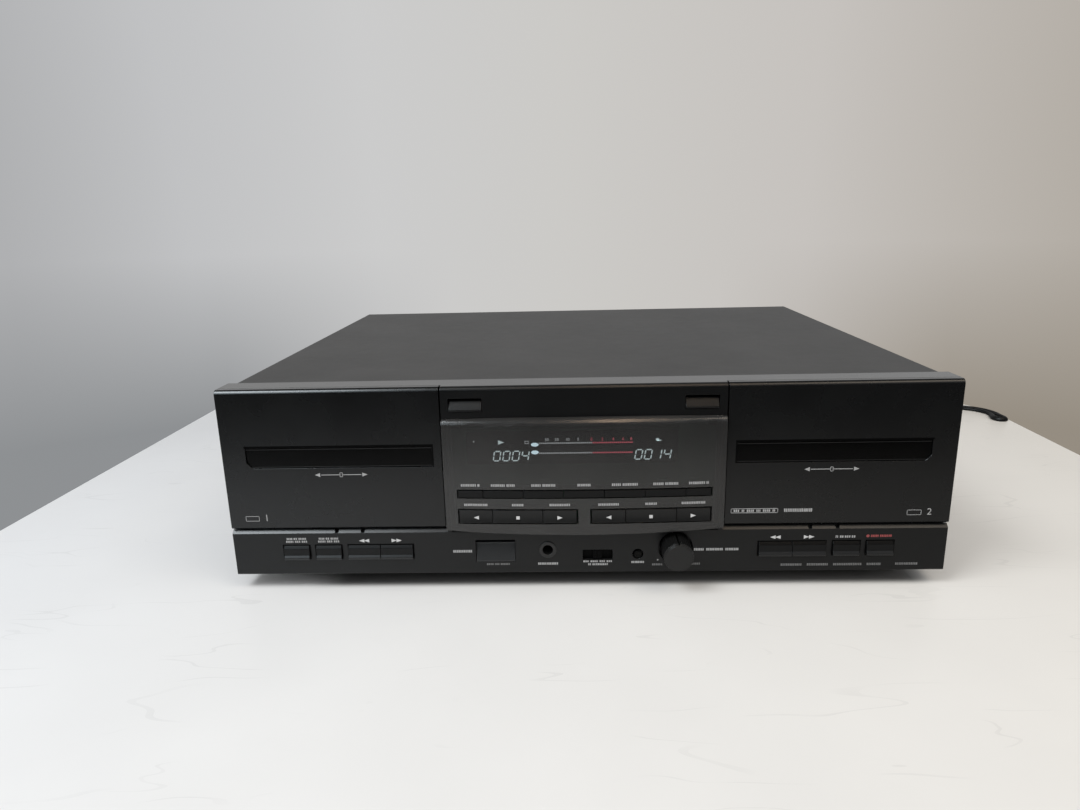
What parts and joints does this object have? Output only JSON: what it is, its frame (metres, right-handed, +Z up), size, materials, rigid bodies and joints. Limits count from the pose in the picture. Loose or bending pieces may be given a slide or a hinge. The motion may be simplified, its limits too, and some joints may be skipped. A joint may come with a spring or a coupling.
{
  "type": "double cassette deck",
  "caption": "Full-width double cassette deck on round feet, with hinged doors, a bowed display window, rows of keys, a level knob and a coiled mains lead.",
  "frame": {"origin": "bottom centre of the deck on its feet, without the mains lead", "axes": "+X right seen from the front, +Y to the rear, +Z up"},
  "size_m": [0.688, 0.4722, 0.13],
  "materials": {
    "front_plastic": "fine matt moulding",
    "smoked_acrylic": "polished",
    "cover_paint": "fine textured paint",
    "zinc_sheet": "zinc plated",
    "foot_rubber": "matt",
    "screw_steel": "black zinc",
    "board_green": "lacquered",
    "transformer_iron": "varnished",
    "bright_metal": "polished",
    "mechanism_plastic": "satin",
    "door_plastic": "satin",
    "holder_steel": "satin",
    "key_plastic": "satin",
    "lead_rubber": "satin"
  },
  "bodies": {
    "cabinet": {"fascia": "front_plastic", "display_window": "smoked_acrylic", "top_cover": "cover_paint", "chassis": "zinc_sheet", "rear_panel": "cover_paint", "feet": "foot_rubber", "cover_screws": "screw_steel", "front_boards": "board_green", "main_board": "board_green", "power_transformer": "transformer_iron", "headphone_jack": "bright_metal", "line_jacks": "bright_metal", "transport_frames": "zinc_sheet", "strain_relief": "lead_rubber", "mains_cord": "lead_rubber", "cord_coil": "lead_rubber", "mains_plug": "lead_rubber"},
    "door_a": {"door_a": "door_plastic", "door_window_a": "smoked_acrylic", "cassette_holder_a": "holder_steel"},
    "reel_a1": {"reel_spindle_a1": "mechanism_plastic"},
    "reel_a2": {"reel_spindle_a2": "mechanism_plastic"},
    "capstan_a1": {"capstan_a1": "bright_metal"},
    "capstan_a2": {"capstan_a2": "bright_metal"},
    "head_a": {"head_block_a": "holder_steel"},
    "eject_a": {"eject_button_a": "key_plastic"},
    "door_b": {"door_b": "door_plastic", "door_window_b": "smoked_acrylic", "cassette_holder_b": "holder_steel"},
    "reel_b1": {"reel_spindle_b1": "mechanism_plastic"},
    "reel_b2": {"reel_spindle_b2": "mechanism_plastic"},
    "capstan_b1": {"capstan_b1": "bright_metal"},
    "capstan_b2": {"capstan_b2": "bright_metal"},
    "head_b": {"head_block_b": "holder_steel"},
    "eject_b": {"eject_button_b": "key_plastic"},
    "power_button_body": {"power_button": "key_plastic"},
    "function_button_1_body": {"function_button_1": "key_plastic"},
    "function_button_2_body": {"function_button_2": "key_plastic"},
    "function_button_3_body": {"function_button_3": "key_plastic"},
    "function_button_4_body": {"function_button_4": "key_plastic"},
    "function_button_5_body": {"function_button_5": "key_plastic"},
    "function_button_6_body": {"function_button_6": "key_plastic"},
    "function_button_7_body": {"function_button_7": "key_plastic"},
    "reverse_key_a_body": {"reverse_key_a": "key_plastic"},
    "stop_key_a_body": {"stop_key_a": "key_plastic"},
    "play_key_a_body": {"play_key_a": "key_plastic"},
    "reverse_key_b_body": {"reverse_key_b": "key_plastic"},
    "stop_key_b_body": {"stop_key_b": "key_plastic"},
    "play_key_b_body": {"play_key_b": "key_plastic"},
    "edit_key_1_body": {"edit_key_1": "key_plastic"},
    "edit_key_2_body": {"edit_key_2": "key_plastic"},
    "rewind_key_a_body": {"rewind_key_a": "key_plastic"},
    "forward_key_a_body": {"forward_key_a": "key_plastic"},
    "rewind_key_b_body": {"rewind_key_b": "key_plastic"},
    "forward_key_b_body": {"forward_key_b": "key_plastic"},
    "pause_key_body": {"pause_key": "key_plastic"},
    "record_key_body": {"record_key": "key_plastic"},
    "mode_button_body": {"mode_button": "key_plastic"},
    "timer_slider_body": {"timer_slider": "key_plastic"},
    "level_knob_body": {"level_knob": "key_plastic"}
  },
  "joints": [
    {"name": "door_a_hinge", "type": "hinge", "parent": "cabinet", "child": "door_a", "pos_m": [-0.1528, -0.1655, 0.045], "axis": [1, 0, 0], "range_deg": [0, 22]},
    {"name": "reel_a1_spin", "type": "hinge", "parent": "cabinet", "child": "reel_a1", "pos_m": [-0.16721, -0.151, 0.0892], "axis": [0, 1, 0], "continuous": true},
    {"name": "reel_a2_spin", "type": "hinge", "parent": "cabinet", "child": "reel_a2", "pos_m": [-0.12471, -0.151, 0.0892], "axis": [0, 1, 0], "continuous": true},
    {"name": "capstan_a1_spin", "type": "hinge", "parent": "cabinet", "child": "capstan_a1", "pos_m": [-0.17096, -0.1395, 0.064], "axis": [0, 1, 0], "continuous": true},
    {"name": "capstan_a2_spin", "type": "hinge", "parent": "cabinet", "child": "capstan_a2", "pos_m": [-0.12096, -0.1395, 0.064], "axis": [0, 1, 0], "continuous": true},
    {"name": "head_a_lift", "type": "slide", "parent": "cabinet", "child": "head_a", "axis": [0, 0, 1], "range_m": [0, 0.0058], "stiffness_N_per_m": 60, "springref_m": -0.012},
    {"name": "eject_a_press", "type": "slide", "parent": "cabinet", "child": "eject_a", "axis": [0, 1, 0], "range_m": [0, 0.002], "stiffness_N_per_m": 400, "springref_m": -0.002},
    {"name": "door_b_hinge", "type": "hinge", "parent": "cabinet", "child": "door_b", "pos_m": [0.1528, -0.1655, 0.045], "axis": [1, 0, 0], "range_deg": [0, 22]},
    {"name": "reel_b1_spin", "type": "hinge", "parent": "cabinet", "child": "reel_b1", "pos_m": [0.12471, -0.151, 0.0892], "axis": [0, 1, 0], "continuous": true},
    {"name": "reel_b2_spin", "type": "hinge", "parent": "cabinet", "child": "reel_b2", "pos_m": [0.16721, -0.151, 0.0892], "axis": [0, 1, 0], "continuous": true},
    {"name": "capstan_b1_spin", "type": "hinge", "parent": "cabinet", "child": "capstan_b1", "pos_m": [0.12096, -0.1395, 0.064], "axis": [0, 1, 0], "continuous": true},
    {"name": "capstan_b2_spin", "type": "hinge", "parent": "cabinet", "child": "capstan_b2", "pos_m": [0.17096, -0.1395, 0.064], "axis": [0, 1, 0], "continuous": true},
    {"name": "head_b_lift", "type": "slide", "parent": "cabinet", "child": "head_b", "axis": [0, 0, 1], "range_m": [0, 0.0058], "stiffness_N_per_m": 60, "springref_m": -0.012},
    {"name": "eject_b_press", "type": "slide", "parent": "cabinet", "child": "eject_b", "axis": [0, 1, 0], "range_m": [0, 0.002], "stiffness_N_per_m": 400, "springref_m": -0.002},
    {"name": "power_button_press", "type": "slide", "parent": "cabinet", "child": "power_button_body", "axis": [0, 1, 0], "range_m": [0, 0.003], "stiffness_N_per_m": 400, "springref_m": -0.003},
    {"name": "function_button_1_press", "type": "slide", "parent": "cabinet", "child": "function_button_1_body", "axis": [0, 1, 0], "range_m": [0, 0.001], "stiffness_N_per_m": 500, "springref_m": -0.001},
    {"name": "function_button_2_press", "type": "slide", "parent": "cabinet", "child": "function_button_2_body", "axis": [0, 1, 0], "range_m": [0, 0.001], "stiffness_N_per_m": 500, "springref_m": -0.001},
    {"name": "function_button_3_press", "type": "slide", "parent": "cabinet", "child": "function_button_3_body", "axis": [0, 1, 0], "range_m": [0, 0.001], "stiffness_N_per_m": 500, "springref_m": -0.001},
    {"name": "function_button_4_press", "type": "slide", "parent": "cabinet", "child": "function_button_4_body", "axis": [0, 1, 0], "range_m": [0, 0.001], "stiffness_N_per_m": 500, "springref_m": -0.001},
    {"name": "function_button_5_press", "type": "slide", "parent": "cabinet", "child": "function_button_5_body", "axis": [0, 1, 0], "range_m": [0, 0.001], "stiffness_N_per_m": 500, "springref_m": -0.001},
    {"name": "function_button_6_press", "type": "slide", "parent": "cabinet", "child": "function_button_6_body", "axis": [0, 1, 0], "range_m": [0, 0.001], "stiffness_N_per_m": 500, "springref_m": -0.001},
    {"name": "function_button_7_press", "type": "slide", "parent": "cabinet", "child": "function_button_7_body", "axis": [0, 1, 0], "range_m": [0, 0.001], "stiffness_N_per_m": 500, "springref_m": -0.001},
    {"name": "reverse_key_a_press", "type": "slide", "parent": "cabinet", "child": "reverse_key_a_body", "axis": [0, 1, 0], "range_m": [0, 0.001], "stiffness_N_per_m": 500, "springref_m": -0.001},
    {"name": "stop_key_a_press", "type": "slide", "parent": "cabinet", "child": "stop_key_a_body", "axis": [0, 1, 0], "range_m": [0, 0.001], "stiffness_N_per_m": 500, "springref_m": -0.001},
    {"name": "play_key_a_press", "type": "slide", "parent": "cabinet", "child": "play_key_a_body", "axis": [0, 1, 0], "range_m": [0, 0.001], "stiffness_N_per_m": 500, "springref_m": -0.001},
    {"name": "reverse_key_b_press", "type": "slide", "parent": "cabinet", "child": "reverse_key_b_body", "axis": [0, 1, 0], "range_m": [0, 0.001], "stiffness_N_per_m": 500, "springref_m": -0.001},
    {"name": "stop_key_b_press", "type": "slide", "parent": "cabinet", "child": "stop_key_b_body", "axis": [0, 1, 0], "range_m": [0, 0.001], "stiffness_N_per_m": 500, "springref_m": -0.001},
    {"name": "play_key_b_press", "type": "slide", "parent": "cabinet", "child": "play_key_b_body", "axis": [0, 1, 0], "range_m": [0, 0.001], "stiffness_N_per_m": 500, "springref_m": -0.001},
    {"name": "edit_key_1_press", "type": "slide", "parent": "cabinet", "child": "edit_key_1_body", "axis": [0, 1, 0], "range_m": [0, 0.001], "stiffness_N_per_m": 500, "springref_m": -0.001},
    {"name": "edit_key_2_press", "type": "slide", "parent": "cabinet", "child": "edit_key_2_body", "axis": [0, 1, 0], "range_m": [0, 0.001], "stiffness_N_per_m": 500, "springref_m": -0.001},
    {"name": "rewind_key_a_press", "type": "slide", "parent": "cabinet", "child": "rewind_key_a_body", "axis": [0, 1, 0], "range_m": [0, 0.001], "stiffness_N_per_m": 500, "springref_m": -0.001},
    {"name": "forward_key_a_press", "type": "slide", "parent": "cabinet", "child": "forward_key_a_body", "axis": [0, 1, 0], "range_m": [0, 0.001], "stiffness_N_per_m": 500, "springref_m": -0.001},
    {"name": "rewind_key_b_press", "type": "slide", "parent": "cabinet", "child": "rewind_key_b_body", "axis": [0, 1, 0], "range_m": [0, 0.001], "stiffness_N_per_m": 500, "springref_m": -0.001},
    {"name": "forward_key_b_press", "type": "slide", "parent": "cabinet", "child": "forward_key_b_body", "axis": [0, 1, 0], "range_m": [0, 0.001], "stiffness_N_per_m": 500, "springref_m": -0.001},
    {"name": "pause_key_press", "type": "slide", "parent": "cabinet", "child": "pause_key_body", "axis": [0, 1, 0], "range_m": [0, 0.001], "stiffness_N_per_m": 500, "springref_m": -0.001},
    {"name": "record_key_press", "type": "slide", "parent": "cabinet", "child": "record_key_body", "axis": [0, 1, 0], "range_m": [0, 0.001], "stiffness_N_per_m": 500, "springref_m": -0.001},
    {"name": "mode_button_press", "type": "slide", "parent": "cabinet", "child": "mode_button_body", "axis": [0, 1, 0], "range_m": [0, 0.0012], "stiffness_N_per_m": 500, "springref_m": -0.001},
    {"name": "timer_slide", "type": "slide", "parent": "cabinet", "child": "timer_slider_body", "axis": [1, 0, 0], "range_m": [-0.0045, 0.0045]},
    {"name": "level_turn", "type": "hinge", "parent": "cabinet", "child": "level_knob_body", "pos_m": [0.0562, -0.1695, 0.0261], "axis": [0, 1, 0], "range_deg": [-150, 150]}
  ],
  "couplings": [
    {"joint": "capstan_a2_spin", "follows": "capstan_a1_spin", "ratio": -1},
    {"joint": "capstan_b2_spin", "follows": "capstan_b1_spin", "ratio": -1}
  ]
}
